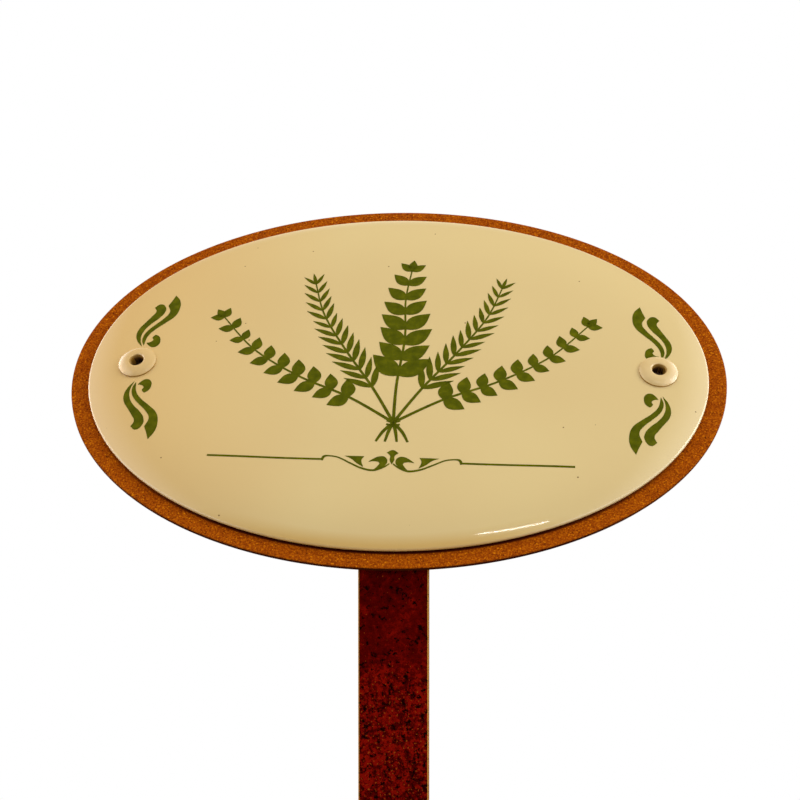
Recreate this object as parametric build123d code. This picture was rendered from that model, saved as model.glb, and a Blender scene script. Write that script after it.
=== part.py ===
from build123d import *
import os
from math import atan, cos, hypot, radians, sin, tan

os.makedirs("parts", exist_ok=True)

# Plant label stake: an oval enamelled sign, riveted to a rusted oval plate that
# is welded to the slanted top of a bent flat bar, which is pushed into the soil.
# Millimetres, +Z up, the sign faces -Y, the origin is on the bar at soil level.

# Enamelled sign: pressed oval sheet with a low crown and a border that turns down
sign_length = 140.0
sign_height = 100.0
sign_sheet = 1.1
crown_rise = 2.0
border_drop = 2.4
border_power = 8
rim_gap = 0.3

# Oval backing plate, larger than the sign by the same margin all round
plate_margin = 4.0
plate_thickness = 1.0
plate_edge_round = 0.2

# Flat bar: pushed into the soil, bent backwards behind the plate's lower edge
stake_width = 15.0
stake_thickness = 3.0
stake_edge_round = 0.4
soil_depth = 120.0
stand_height = 150.0
bend_angle = 45.0
bend_inner_radius = 3.0
bend_setback = 4.0
seat_length = 70.0
tip_length = 32.0
tip_width = 3.0

# The sign and its plate sit a little askew on the bar, as a hand weld leaves them
sign_shift = -2.0
sign_turn = -1.2

# Blind rivets through the sign, a spacer washer and the plate
rivet_inset = 11.4
flange_diameter = 8.7
flange_height = 1.1
flange_edge_height = 0.35
rivet_bore = 3.1
mouth_round = 0.45
shank_diameter = 4.8
bulb_diameter = 6.8
bulb_length = 3.2
bulb_round = 0.9
washer_diameter = 10.5

# What is left of each rivet's pulling stem inside its bore
stem_break_depth = 2.3
stem_break_taper = 0.5
stem_head_diameter = 4.6
stem_head_length = 1.6
stem_head_round = 0.6

# Weld beads along both sides of the bar's slanted top
bead_radius = 2.0
bead_length = 12.0
bead_place_shares = (0.24, 0.76)

# Fits
hole_clearance = 0.15
washer_bore_clearance = 0.3
seat_clearance = 0.1
stem_clearance = 0.05
cut_overrun = 5.0

# Where the dome's profile is fixed, as shares of the way from centre to rim
profile_shares = (0.0, 0.25, 0.45, 0.6, 0.7, 0.78, 0.85, 0.91, 0.96, 1.0)

# Worked out from the sizes above
rivet_reach = sign_length / 2 - rivet_inset
rim_radius = sign_height / 2 - sign_sheet / 2
rim_level = rim_gap + sign_sheet / 2
stretch = sign_length / sign_height
plate_half_length = sign_length / 2 + plate_margin
plate_half_height = sign_height / 2 + plate_margin
bend_radius = bend_inner_radius + stake_thickness / 2
bend_tangent = bend_radius * tan(radians(bend_angle / 2))
bend_corner = Vector(0, 0, stand_height)
up_slant = Vector(0, sin(radians(bend_angle)), cos(radians(bend_angle)))
off_slant = Vector(0, -cos(radians(bend_angle)), sin(radians(bend_angle)))
seat_below_centre = plate_half_height - bend_setback


def seat_plane():
    """Front of the bar's slanted top: X right, Y up the slope, Z towards the sign."""
    run = bend_tangent + seat_below_centre
    origin = bend_corner + up_slant * run + off_slant * (stake_thickness / 2)
    return Plane(origin=origin, x_dir=(1, 0, 0), z_dir=off_slant)


def sign_place():
    """Where the plate's front face goes, with its middle as the origin."""
    return seat_plane().location * Location((sign_shift, 0, plate_thickness), (0, 0, sign_turn))


def dome_rise(share):
    """Height of the dome's middle surface over its rim, by share of the radius."""
    return crown_rise * (1 - share**2) + border_drop * (1 - share**border_power)


def dome_fall(share, radius):
    """Angle at which that surface falls there, where the rim lies at this radius."""
    crown_part = 2 * crown_rise * share
    border_part = border_power * border_drop * share ** (border_power - 1)
    return atan((crown_part + border_part) / radius)


def skin_point(share, side, drop):
    """A profile point on the dome's front (side 1) or back (side -1), let down by drop."""
    fall = dome_fall(share, rim_radius)
    offset = side * sign_sheet / 2
    radius = rim_radius * share + offset * sin(fall)
    return Vector(radius, 0, rim_level + dome_rise(share) + offset * cos(fall) - drop)


def skin_curve(side, drop=0):
    """One skin of the dome's profile, level at the centre."""
    points = [skin_point(share, side, drop) for share in profile_shares]
    fall = dome_fall(1, rim_radius)
    return Spline(*points, tangents=[(1, 0, 0), (cos(fall), 0, -sin(fall))])


def turned(edges):
    """The round solid of a closed profile."""
    return revolve(make_face(edges), axis=Axis.Z, revolution_arc=360)


def oval(edges):
    """The round solid of a closed profile, stretched along X to the sign's oval."""
    return scale(turned(edges), by=(stretch, 1, 1))


def rivet_plane(side):
    """Tangent plane of the dome's front at the left (-1) or right (1) rivet."""
    half_length = rim_radius * stretch
    share = rivet_reach / half_length
    fall = dome_fall(share, half_length)
    normal = Vector(side * sin(fall), 0, cos(fall))
    middle = Vector(side * rivet_reach, 0, rim_level + dome_rise(share))
    along = Vector(cos(fall), 0, -side * sin(fall))
    return Plane(origin=middle + normal * (sign_sheet / 2), x_dir=along, z_dir=normal)


def rivet_grip():
    """From the dome's front, down the leaning rivet, to clear of the plate's back."""
    plane = rivet_plane(1)
    lean = plane.z_dir.X / plane.z_dir.Z
    straight = hypot(1, lean) * (plane.origin.Z + plate_thickness)
    return straight + lean * bulb_diameter / 2 + seat_clearance


def rivet_cutter(side, diameter):
    """A long cylinder down a rivet's axis."""
    return rivet_plane(side) * Cylinder(diameter / 2, 2 * (rivet_grip() + cut_overrun))


def enamel_sign():
    front = skin_curve(1)
    back = skin_curve(-1)
    fall = dome_fall(1, rim_radius)
    rim_middle = Vector(rim_radius, 0, rim_level)
    rim_outside = rim_middle + Vector(cos(fall), 0, -sin(fall)) * (sign_sheet / 2)
    rim = ThreePointArc(front @ 1, rim_outside, back @ 1)
    sign = oval([front, rim, back, Line(back @ 0, front @ 0)])
    for side in (-1, 1):
        sign -= rivet_cutter(side, shank_diameter + 2 * hole_clearance)
    return sign


def backing_plate():
    plate = extrude(Ellipse(plate_half_length, plate_half_height), amount=-plate_thickness)
    plate = fillet(plate.edges(), plate_edge_round)
    for side in (-1, 1):
        plate -= rivet_cutter(side, shank_diameter + 2 * hole_clearance)
    return plate


def tip_cutter(side):
    """What is sheared off one side of the bar to leave its point."""
    outside = stake_width / 2 + cut_overrun
    foot = -soil_depth
    corners = [
        (side * tip_width / 2, foot),
        (side * stake_width / 2, foot + tip_length),
        (side * outside, foot + tip_length),
        (side * outside, foot - cut_overrun),
        (side * tip_width / 2, foot - cut_overrun),
    ]
    return extrude(Plane.XZ * make_face(Polyline(*corners, close=True)), amount=stake_thickness, both=True)


def stake():
    foot = Vector(0, 0, -soil_depth)
    top = bend_corner + up_slant * (bend_tangent + seat_length)
    path = FilletPolyline(foot, bend_corner, top, radius=bend_radius)
    section = RectangleRounded(stake_width, stake_thickness, stake_edge_round)
    bar = sweep(Location(foot) * section, path=path)
    for side in (-1, 1):
        bar -= tip_cutter(side)
    return bar


def rivet_body(side):
    """Domed flange, shank and the bulb that pulling the stem has upset behind."""
    bore = rivet_bore / 2
    shank = shank_diameter / 2
    bulb = bulb_diameter / 2
    under = -rivet_grip()
    rear = under - bulb_length
    mouth_low = Vector(bore, 0, flange_height - mouth_round)
    mouth_high = Vector(bore + mouth_round, 0, flange_height)
    edge_top = Vector(flange_diameter / 2, 0, flange_edge_height)
    edge_foot = Vector(flange_diameter / 2, 0, 0)
    shank_top = Vector(shank, 0, 0)
    shank_foot = Vector(shank, 0, under)
    bulb_front = Vector(bulb - bulb_round, 0, under)
    bulb_high = Vector(bulb, 0, under - bulb_round)
    bulb_low = Vector(bulb, 0, rear + bulb_round)
    bulb_rear = Vector(bulb - bulb_round, 0, rear)
    bore_rear = Vector(bore, 0, rear)
    profile = [
        Line(bore_rear, mouth_low),
        TangentArc(mouth_low, mouth_high, tangent=(0, 0, 1)),
        TangentArc(mouth_high, edge_top, tangent=(1, 0, 0)),
        Line(edge_top, edge_foot),
        Line(edge_foot, shank_top),
        Line(shank_top, shank_foot),
        Line(shank_foot, bulb_front),
        TangentArc(bulb_front, bulb_high, tangent=(1, 0, 0)),
        Line(bulb_high, bulb_low),
        TangentArc(bulb_low, bulb_rear, tangent=(0, 0, -1)),
        Line(bulb_rear, bore_rear),
    ]
    return rivet_plane(side) * turned(profile)


def rivet_stem(side):
    """The snapped stem: a tapered break below the flange, a head behind the bulb."""
    stem = rivet_bore / 2 - stem_clearance
    head = stem_head_diameter / 2
    top = flange_height - stem_break_depth
    seat = -rivet_grip() - bulb_length
    foot = seat - stem_head_length
    profile = [
        Line((0, 0, foot), (0, 0, top)),
        Line((0, 0, top), (stem - stem_break_taper, 0, top)),
        Line((stem - stem_break_taper, 0, top), (stem, 0, top - stem_break_taper)),
        Line((stem, 0, top - stem_break_taper), (stem, 0, seat)),
        Line((stem, 0, seat), (head, 0, seat)),
        Line((head, 0, seat), (head, 0, foot + stem_head_round)),
        TangentArc((head, 0, foot + stem_head_round), (head - stem_head_round, 0, foot), tangent=(0, 0, -1)),
        Line((head - stem_head_round, 0, foot), (0, 0, foot)),
    ]
    return rivet_plane(side) * turned(profile)


def spacer_washer(side):
    """Soft washer that fills the space between plate and dome round a rivet."""
    back = skin_curve(-1, drop=seat_clearance)
    rim_foot = Vector((back @ 1).X, 0, 0)
    under_dome = oval([back, Line(back @ 1, rim_foot), Line(rim_foot, (0, 0, 0)), Line((0, 0, 0), back @ 0)])
    washer = under_dome & rivet_cutter(side, washer_diameter)
    return washer - rivet_cutter(side, shank_diameter + 2 * washer_bore_clearance)


def weld_bead(side, share):
    """One convex fillet weld in the corner between the bar and the plate's back."""
    straight = bead_length - 2 * bead_radius
    bead = Rotation(90, 0, 0) * Cylinder(bead_radius, straight)
    for end in (-1, 1):
        bead += Location((0, end * straight / 2, 0)) * Sphere(bead_radius)
    outside = Align.MIN if side > 0 else Align.MAX
    corner = Box(bead_length, bead_length, bead_length, align=(outside, Align.CENTER, Align.MAX))
    up = share * seat_length - seat_below_centre
    return seat_plane() * (Location((side * stake_width / 2, up, 0)) * (bead & corner))


def weld_beads(side):
    return Compound([weld_bead(side, share).solid() for share in bead_place_shares])


place = sign_place()
nodes = {
    "enamel_sign": place * enamel_sign(),
    "backing_plate": place * backing_plate(),
    "stake": stake(),
}
for name, side in (("left", -1), ("right", 1)):
    nodes[f"rivet_body_{name}"] = place * rivet_body(side)
    nodes[f"rivet_stem_{name}"] = place * rivet_stem(side)
    nodes[f"spacer_washer_{name}"] = place * spacer_washer(side)
    nodes[f"weld_beads_{name}"] = weld_beads(side)

for name, shape in nodes.items():
    export_step(shape, f"parts/{name}.step")
    box = shape.bounding_box()
    print(name, [round(value, 2) for value in (*box.min, *box.max)], "volume", round(shape.volume, 1))
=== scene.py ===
# %% [markdown]
# This lesson dresses a plant label stake: an oval enamelled sign on a rusted
# plate and bar. The construction model is loaded as a fixed frame at real size.
# Only finishes and the parts that are too fine or too smooth for it are made here.

# %% Load the frame
import bpy
import bmesh
from math import atan, cos, hypot, pi, radians, sin
from mathutils import Matrix, Vector


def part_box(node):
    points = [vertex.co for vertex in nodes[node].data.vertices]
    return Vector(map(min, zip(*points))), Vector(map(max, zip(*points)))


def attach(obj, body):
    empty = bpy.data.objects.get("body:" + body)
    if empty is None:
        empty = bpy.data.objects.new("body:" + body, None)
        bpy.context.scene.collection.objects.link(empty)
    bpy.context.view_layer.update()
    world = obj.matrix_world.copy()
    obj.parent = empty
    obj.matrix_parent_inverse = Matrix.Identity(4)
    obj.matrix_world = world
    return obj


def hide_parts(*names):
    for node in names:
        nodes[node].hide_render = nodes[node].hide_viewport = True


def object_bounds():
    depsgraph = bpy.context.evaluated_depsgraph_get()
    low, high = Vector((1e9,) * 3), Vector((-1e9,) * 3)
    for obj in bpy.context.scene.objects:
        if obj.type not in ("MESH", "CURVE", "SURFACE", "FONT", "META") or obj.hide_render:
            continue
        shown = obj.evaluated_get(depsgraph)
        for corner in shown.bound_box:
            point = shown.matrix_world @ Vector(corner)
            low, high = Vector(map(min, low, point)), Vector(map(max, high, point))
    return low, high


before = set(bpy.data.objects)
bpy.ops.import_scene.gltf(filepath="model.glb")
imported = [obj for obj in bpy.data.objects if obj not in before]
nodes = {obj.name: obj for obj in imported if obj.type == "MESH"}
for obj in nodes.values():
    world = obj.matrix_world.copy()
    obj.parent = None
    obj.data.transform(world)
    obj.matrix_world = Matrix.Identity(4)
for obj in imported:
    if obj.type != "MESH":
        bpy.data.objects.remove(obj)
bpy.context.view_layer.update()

print("nodes:", sorted(nodes))

# %% [markdown]
# Lengths are kept in millimetres, as a maker would write them, and turned to
# metres where a mesh or a pattern is made. The sign's own place is worked out
# from the plate's box: the plate is a flat oval, so the middle of its box is the
# middle of the plate, and the sign leans and turns as the welded plate does.

# %% Units and the sign's place
MM = 0.001
plate_lean = radians(45.0)
sign_turn = radians(-1.2)
plate_thickness = 1.0 * MM
sign_half_length = 70.0
sign_half_height = 50.0

plate_low, plate_high = (Vector(corner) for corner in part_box("backing_plate"))
outward = Vector((0, -sin(plate_lean), cos(plate_lean)))
plate_front = (plate_low + plate_high) / 2 + outward * plate_thickness / 2
sign_place = (
    Matrix.Translation(plate_front)
    @ Matrix.Rotation(plate_lean, 4, "X")
    @ Matrix.Rotation(sign_turn, 4, "Z")
)
print("plate front centre, m:", [round(value, 4) for value in plate_front])

# %% [markdown]
# The camera stands where the photographer's did. Its distance and angle come
# from the way the oval and the marks on it are foreshortened. It looks nearly
# level, a little down and from a little to the right, with a long lens.

# %% Camera
photo_width = 800
focal_pixels = 2416
camera_offset = Vector((40.1, -543.0, 25.9)) * MM
view_right = Vector((0.99739, 0.07218, 0.0)).normalized()
view_forward = Vector((-0.07207, 0.99581, -0.05634)).normalized()
view_up = view_right.cross(view_forward)

lens = bpy.data.cameras.new("photo_camera")
lens.sensor_width = 36.0
lens.lens = lens.sensor_width * focal_pixels / photo_width
lens.clip_start = 0.01
camera = bpy.data.objects.new("photo_camera", lens)
bpy.context.scene.collection.objects.link(camera)
turn = Matrix((view_right, view_up, -view_forward)).transposed().to_4x4()
camera.matrix_world = Matrix.Translation(plate_front + camera_offset) @ turn
bpy.context.scene.camera = camera
bpy.context.scene.view_settings.view_transform = "Standard"
print("lens, mm:", round(lens.lens, 1))

# %% [markdown]
# Every colour is written as the hex value that it has on screen, and one
# function turns it to the linear numbers that the shaders want. A second small
# function adds a shader or geometry node with its settings and its links.
# A pattern's scale is one over the size of its grain, in metres.

# %% Colour and node helpers
def linear(hex_value, alpha=1.0):
    """A hex colour as linear red, green, blue and alpha."""
    channels = [int(hex_value[place:place + 2], 16) / 255 for place in (1, 3, 5)]
    light = [c / 12.92 if c <= 0.04045 else ((c + 0.055) / 1.055) ** 2.4 for c in channels]
    return (*light, alpha)


def add(tree, kind, inputs=None, stops=(), **settings):
    """Adds a node, sets its properties and ramp stops, and fills or links its inputs."""
    node = tree.nodes.new(kind)
    for name, value in settings.items():
        setattr(node, name, value)
    for place, colour in stops[2:]:
        node.color_ramp.elements.new(place)
    for element, (place, colour) in zip(node.color_ramp.elements if stops else (), stops):
        element.position = place
        element.color = linear(colour)
    for name, value in (inputs or {}).items():
        if isinstance(value, bpy.types.NodeSocket):
            tree.links.new(value, node.inputs[name])
        else:
            node.inputs[name].default_value = linear(value) if isinstance(value, str) else value
    return node


def grain(size_mm):
    """The scale of a pattern whose grain has this size."""
    return 1 / (size_mm * MM)


def new_material(name):
    """An empty node material with its principled shader and object coordinates."""
    material = bpy.data.materials.new(name)
    material.use_nodes = True
    tree = material.node_tree
    coords = add(tree, "ShaderNodeTexCoord").outputs["Object"]
    return material, tree, tree.nodes["Principled BSDF"], coords


def on_sign(tree, coords):
    """A point's share of the sign's oval, and its place across, up and over the sign, by name."""
    lean = {"Vector": coords, "Location": plate_front, "Rotation": sign_place.to_euler()}
    flat = add(tree, "ShaderNodeMapping", lean, vector_type="TEXTURE").outputs[0]
    halves = (1 / (sign_half_length * MM), 1 / (sign_half_height * MM), 0.0)
    oval = add(tree, "ShaderNodeVectorMath", {0: flat, 1: halves}, operation="MULTIPLY").outputs[0]
    share = add(tree, "ShaderNodeVectorMath", {0: oval}, operation="LENGTH").outputs["Value"]
    across, up, over = add(tree, "ShaderNodeSeparateXYZ", {0: flat}).outputs
    return {"share": share, "across": across, "up": up, "over": over}


def where(tree, *limits):
    """A mask from 0 to 1: each limit is a value, where it starts and where it is full."""
    mask = 1.0
    for value, start, full in limits:
        within = {"Value": value, "From Min": start, "From Max": full}
        within = add(tree, "ShaderNodeMapRange", within).outputs[0]
        mask = add(tree, "ShaderNodeMath", {0: within, 1: mask}, operation="MULTIPLY").outputs[0]
    return mask


def coat(tree, shader, colour, normal, roughness, specular=0.5):
    """Gives a shader its colour and relief patterns and its even gloss."""
    tree.links.new(colour, shader.inputs["Base Color"])
    tree.links.new(normal, shader.inputs["Normal"])
    shader.inputs["Roughness"].default_value = roughness
    shader.inputs["Specular IOR Level"].default_value = specular


print("mid grey as linear light:", round(linear("#808080")[0], 3))

# %% [markdown]
# Vitreous enamel is powdered glass, sprayed on steel and fused in a kiln. It is
# a smooth, hard, glossy coat with a very faint ripple, a few tiny dark pinholes
# and a colour that is even but not dead flat. Its left side is painted warmer, as
# painted warm light, and the lowest part of the border is painted deeper in colour,
# as painted shade where the border turns down.

# %% Ivory enamel
enamel_glass_ior = 1.52
# Where the painted warm light and the painted shade of the lower border lie:
# places on the sign in millimetres, the border as a share of its oval
painted_warmth_from = -15.0
painted_warmth_full = -65.0
lower_shade_from = -40.0
lower_shade_full = -48.0
border_from = 0.935
border_full = 0.985
# A pinhole's reach as a share of its cell
pinhole_edge = 0.036
pinhole_core = 0.022


def ivory_enamel():
    """Fired ivory enamel: gloss from the glass, faint ripple from the kiln, tiny pinholes,
    painted warm light to the left and painted shade low on the border.
    """
    material, tree, shader, coords = new_material("enamel_ivory_fired")
    spot = on_sign(tree, coords)
    cloud = {"Vector": coords, "Scale": grain(38.0), "Detail": 1.0}
    cloud = add(tree, "ShaderNodeTexNoise", cloud).outputs[0]
    tones = [(0.3, "#DFC68C"), (0.7, "#DBC087")]
    colour = add(tree, "ShaderNodeValToRGB", {"Fac": cloud}, stops=tones).outputs[0]
    # Painted warm light, warmer towards the left
    painted_warm_light = where(tree, (spot["across"], painted_warmth_from * MM, painted_warmth_full * MM))
    # Painted shade on the lowest part of the border, where it turns down and away from the light
    low_edge = (spot["up"], lower_shade_from * MM, lower_shade_full * MM)
    painted_lower_border_shade = where(tree, (spot["share"], border_from, border_full), low_edge)
    cells = {"Vector": coords, "Scale": grain(6.0)}
    cells = add(tree, "ShaderNodeTexVoronoi", cells).outputs["Distance"]
    pinhole = where(tree, (cells, pinhole_edge, pinhole_core))
    # Painted warm light, then painted shade on the lower border, then the real pinholes
    for mask, tint in ((painted_warm_light, "#DEBA7A"), (painted_lower_border_shade, "#D2AC65"), (pinhole, "#6B4A22")):
        layer = {0: mask, 6: colour, 7: tint}
        colour = add(tree, "ShaderNodeMix", layer, data_type="RGBA").outputs[2]
    ripple = {"Vector": coords, "Scale": grain(7.0), "Detail": 1.0}
    ripple = add(tree, "ShaderNodeTexNoise", ripple).outputs[0]
    relief = add(tree, "ShaderNodeBump", {"Height": ripple, "Distance": 0.012 * MM}).outputs[0]
    coat(tree, shader, colour, relief, roughness=0.07)
    shader.inputs["IOR"].default_value = enamel_glass_ior
    return material


enamel_ivory = ivory_enamel()
print("made", enamel_ivory.name)

# %% [markdown]
# The green print is a second, thin coat of enamel, put on through a screen and
# fired again. It melts into a raised film a few hundredths of a millimetre
# thick, as glossy as the ground, a little uneven in depth.

# %% Green enamel
def green_enamel():
    """Screen-printed olive enamel, darker where the film is thick."""
    material, tree, shader, coords = new_material("enamel_olive_printed")
    film = {"Vector": coords, "Scale": grain(1.6), "Detail": 3.0}
    film = add(tree, "ShaderNodeTexNoise", film).outputs[0]
    tones = [(0.3, "#4A4E01"), (0.55, "#565902"), (0.75, "#666604")]
    colour = add(tree, "ShaderNodeValToRGB", {"Fac": film}, stops=tones).outputs[0]
    relief = add(tree, "ShaderNodeBump", {"Height": film, "Distance": 0.004 * MM}).outputs[0]
    coat(tree, shader, colour, relief, roughness=0.12, specular=0.3)
    shader.inputs["IOR"].default_value = enamel_glass_ior
    return material


enamel_green = green_enamel()
print("made", enamel_green.name)

# %% [markdown]
# The plate is mild steel that was wetted and left to rust, then sealed. Young
# rust is an even orange-brown powder with fine light and dark grains, so three
# noises of different grain lie over each other, with a gritty relief. The powder
# itself is too fine to show, so its grains are drawn a few times as coarse. Low
# down, where the sign's rim nearly touches the plate, a dark seam is painted as the
# rim's painted shadow, and the lower cut edge is painted dark as painted shade. Both
# are found by a point's share of the sign's oval and its depth behind the plate's front.

# %% Rusted plate
grit_share = 0.75
bright_flecks = (0.61, 0.68)
dark_flecks = (0.37, 0.31)
# Where the painted seam shadow and the painted shade of the cut edge lie:
# rings as shares of the sign's oval, depths and heights in millimetres
seam_ring = ((0.96, 0.985), (1.008, 1.002))
seam_depth = (-0.6, -0.2)
seam_from = -18.0
seam_full = -44.0
cut_ring = (1.045, 1.055)
cut_depths = ((-0.1, -0.25), (-0.98, -0.93))


def rusted_plate():
    """Young sealed rust: fine orange and dark grains, painted shadow in the seam
    and painted shade on the cut edge low down.
    """
    material, tree, shader, coords = new_material("steel_rusted_orange")
    noises = []
    for size, detail, rough in ((2.0, 4.0, 0.7), (0.4, 3.0, 0.7), (0.45, 2.0, 0.6)):
        noise = {"Vector": coords, "Scale": grain(size), "Detail": detail, "Roughness": rough}
        noises.append(add(tree, "ShaderNodeTexNoise", noise).outputs[0])
    cloud, grit, fleck = noises
    mixed = 0.0
    for pattern, weight in ((grit, grit_share), (cloud, 1 - grit_share)):
        summed = {0: pattern, 1: weight, 2: mixed}
        mixed = add(tree, "ShaderNodeMath", summed, operation="MULTIPLY_ADD").outputs[0]
    tones = [(0.38, "#783002"), (0.5, "#984403"), (0.62, "#B86006")]
    colour = add(tree, "ShaderNodeValToRGB", {"Fac": mixed}, stops=tones).outputs[0]
    bright = where(tree, (fleck, *bright_flecks))
    dark = where(tree, (fleck, *dark_flecks))
    spot = on_sign(tree, coords)
    ring = [(spot["share"], start, full) for start, full in seam_ring]
    front = (spot["over"], seam_depth[0] * MM, seam_depth[1] * MM)
    # Painted shadow of the rim, a ring just round it, low down
    painted_seam_shadow = where(tree, *ring, front, (spot["up"], seam_from * MM, seam_full * MM))
    # Painted shade on the lower cut edge, which faces down and away from the light
    side = [(spot["over"], start * MM, full * MM) for start, full in cut_depths]
    low_down = (spot["up"], 0.0, seam_full * MM)
    painted_cut_edge_shade = where(tree, *side, (spot["share"], *cut_ring), low_down)
    # Real bright and dark flecks, then the painted seam shadow and the painted shade of the cut edge
    layers = ((bright, "#D67E08"), (dark, "#4E1F03"), (painted_seam_shadow, "#461203"), (painted_cut_edge_shade, "#3A1002"))
    for mask, tint in layers:
        layer = {0: mask, 6: colour, 7: tint}
        colour = add(tree, "ShaderNodeMix", layer, data_type="RGBA").outputs[2]
    relief = add(tree, "ShaderNodeBump", {"Height": grit, "Distance": 0.06 * MM}).outputs[0]
    coat(tree, shader, colour, relief, roughness=0.8, specular=0.02)
    return material


rust_plate = rusted_plate()
print("made", rust_plate.name)

# %% [markdown]
# The bar has rusted for longer: it is dark red-brown, with black pits where the
# scale broke out and scattered orange grains. Its lower part stays damp near the
# soil, so the grains crowd there and its tones swing more from place to place; it is
# also painted a little lighter there, as painted light. Right under the plate it is
# painted a little darker, as the plate's painted shadow. Its long edges carry a
# painted highlight: narrow golden lines where they round off.

# %% Weathered bar
# Heights over the soil, in metres
pitted_below = 0.127
pitted_blend = 0.005
shaded_above = 0.142
shaded_blend = 0.002
# Where a long edge's painted highlight starts and ends, by how far its face is turned sideways
highlight_outer = (0.3, 0.5)
highlight_inner = (0.975, 0.93)


def weathered_bar():
    """Old rust: dark red, black pits and orange grains low down, painted light low down,
    painted shadow under the plate and painted highlights on the edges.
    """
    material, tree, shader, coords = new_material("steel_rusted_dark")
    height = add(tree, "ShaderNodeSeparateXYZ", {0: coords}).outputs["Z"]
    # Low down: grains and pits crowd here, and the tone is painted lighter as painted light
    low = where(tree, (height, pitted_below + pitted_blend, pitted_below - pitted_blend))
    # Painted shadow of the plate, right under it
    painted_plate_shadow = where(tree, (height, shaded_above - shaded_blend, shaded_above + shaded_blend))
    noises = []
    for size, detail, rough in ((7.0, 4.0, 0.65), (0.95, 3.0, 0.7), (1.05, 3.0, 0.6), (0.5, 1.0, 0.5)):
        noise = {"Vector": coords, "Scale": grain(size), "Detail": detail, "Roughness": rough}
        noises.append(add(tree, "ShaderNodeTexNoise", noise).outputs[0])
    cloud, grit, hole, speck = noises
    swing = add(tree, "ShaderNodeMath", {0: grit, 1: 0.5}, operation="SUBTRACT").outputs[0]
    swing = add(tree, "ShaderNodeMath", {0: swing, 1: low}, operation="MULTIPLY").outputs[0]
    mixed = 0.0
    # The lower part's weight lifts it as painted light, and the top's darkens it as painted shadow
    weights = ((low, 0.06), (painted_plate_shadow, -0.03), (cloud, 0.5), (grit, 0.5), (swing, 1.0))
    for pattern, weight in weights:
        summed = {0: pattern, 1: weight, 2: mixed}
        mixed = add(tree, "ShaderNodeMath", summed, operation="MULTIPLY_ADD").outputs[0]
    tones = [(0.3, "#240000"), (0.4, "#420000"), (0.52, "#560200"), (0.66, "#820C02")]
    colour = add(tree, "ShaderNodeValToRGB", {"Fac": mixed}, stops=tones).outputs[0]
    grains = (speck, 0.075, 0.71, 0.78, "#94420E")
    pits = (hole, 0.03, 0.6, 0.67, "#120000")
    for pattern, crowding, start, full, tint in (grains, pits):
        raised = {0: low, 1: crowding, 2: pattern}
        raised = add(tree, "ShaderNodeMath", raised, operation="MULTIPLY_ADD").outputs[0]
        pitted = where(tree, (raised, start, full))
        layer = {0: pitted, 6: colour, 7: tint}
        colour = add(tree, "ShaderNodeMix", layer, data_type="RGBA").outputs[2]
    # Painted highlight: golden lines where the long edges round off sideways
    facing = add(tree, "ShaderNodeNewGeometry").outputs["True Normal"]
    sideways = add(tree, "ShaderNodeSeparateXYZ", {0: facing}).outputs["X"]
    tilt = add(tree, "ShaderNodeMath", {0: sideways}, operation="ABSOLUTE").outputs[0]
    painted_edge_highlight = where(tree, (tilt, *highlight_outer), (tilt, *highlight_inner))
    layer = {0: painted_edge_highlight, 6: colour, 7: "#C8923C"}
    colour = add(tree, "ShaderNodeMix", layer, data_type="RGBA").outputs[2]
    ground = add(tree, "ShaderNodeBump", {"Height": grit, "Distance": 0.07 * MM}).outputs[0]
    # The loop ended with the pits, so it is their mask that is sunk
    sunk = {"Height": pitted, "Distance": 0.2 * MM, "Normal": ground}
    relief = add(tree, "ShaderNodeBump", sunk, invert=True).outputs[0]
    coat(tree, shader, colour, relief, roughness=0.75, specular=0.01)
    return material


rust_bar = weathered_bar()
print("made", rust_bar.name)

# %% [markdown]
# The rivets are aluminium, dipped in ivory lacquer, which is softer, a little
# duller and warmer than the enamel. It takes the sign's painted warm light to the
# left, and painted shade keeps the lower side of the flanges golden brown.

# %% Rivet lacquer
# How far a face looks up where the painted shade starts on it, and where it is full
underside_shade_facing = (0.3, -0.2)


def ivory_lacquer():
    """Lacquered rivet heads: soft gloss, warmer than the sign, painted warm light to the left,
    painted golden shade on the lower side.
    """
    material, tree, shader, coords = new_material("aluminium_lacquered_ivory")
    across = on_sign(tree, coords)["across"]
    cloud = {"Vector": coords, "Scale": grain(2.5), "Detail": 3.0}
    cloud = add(tree, "ShaderNodeTexNoise", cloud).outputs[0]
    tones = [(0.3, "#D9BA7E"), (0.7, "#DFC188")]
    colour = add(tree, "ShaderNodeValToRGB", {"Fac": cloud}, stops=tones).outputs[0]
    # Painted warm light to the left, as on the sign
    painted_warmth = where(tree, (across, painted_warmth_from * MM, painted_warmth_full * MM))
    # Painted shade on the flanges' lower side, found by faces turned downwards
    facing = add(tree, "ShaderNodeNewGeometry").outputs["Normal"]
    upward = add(tree, "ShaderNodeSeparateXYZ", {0: facing}).outputs["Z"]
    painted_underside_shade = where(tree, (upward, *underside_shade_facing))
    # Painted warm light, then painted shade on the lower side
    for mask, tint in ((painted_warmth, "#DAB677"), (painted_underside_shade, "#A67C30")):
        layer = {0: mask, 6: colour, 7: tint}
        colour = add(tree, "ShaderNodeMix", layer, data_type="RGBA").outputs[2]
    relief = add(tree, "ShaderNodeBump", {"Height": cloud, "Distance": 0.01 * MM}).outputs[0]
    coat(tree, shader, colour, relief, roughness=0.22)
    return material


rivet_lacquer = ivory_lacquer()
print("made", rivet_lacquer.name)

# %% [markdown]
# What shows down the rivets' bores is the snapped steel stem, dull and dark with
# rust. The washers are moulded black rubber, matt and faintly grainy. The weld is
# raw metal that rusted with the plate: lumpy, dark, and a little glassy.

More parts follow.
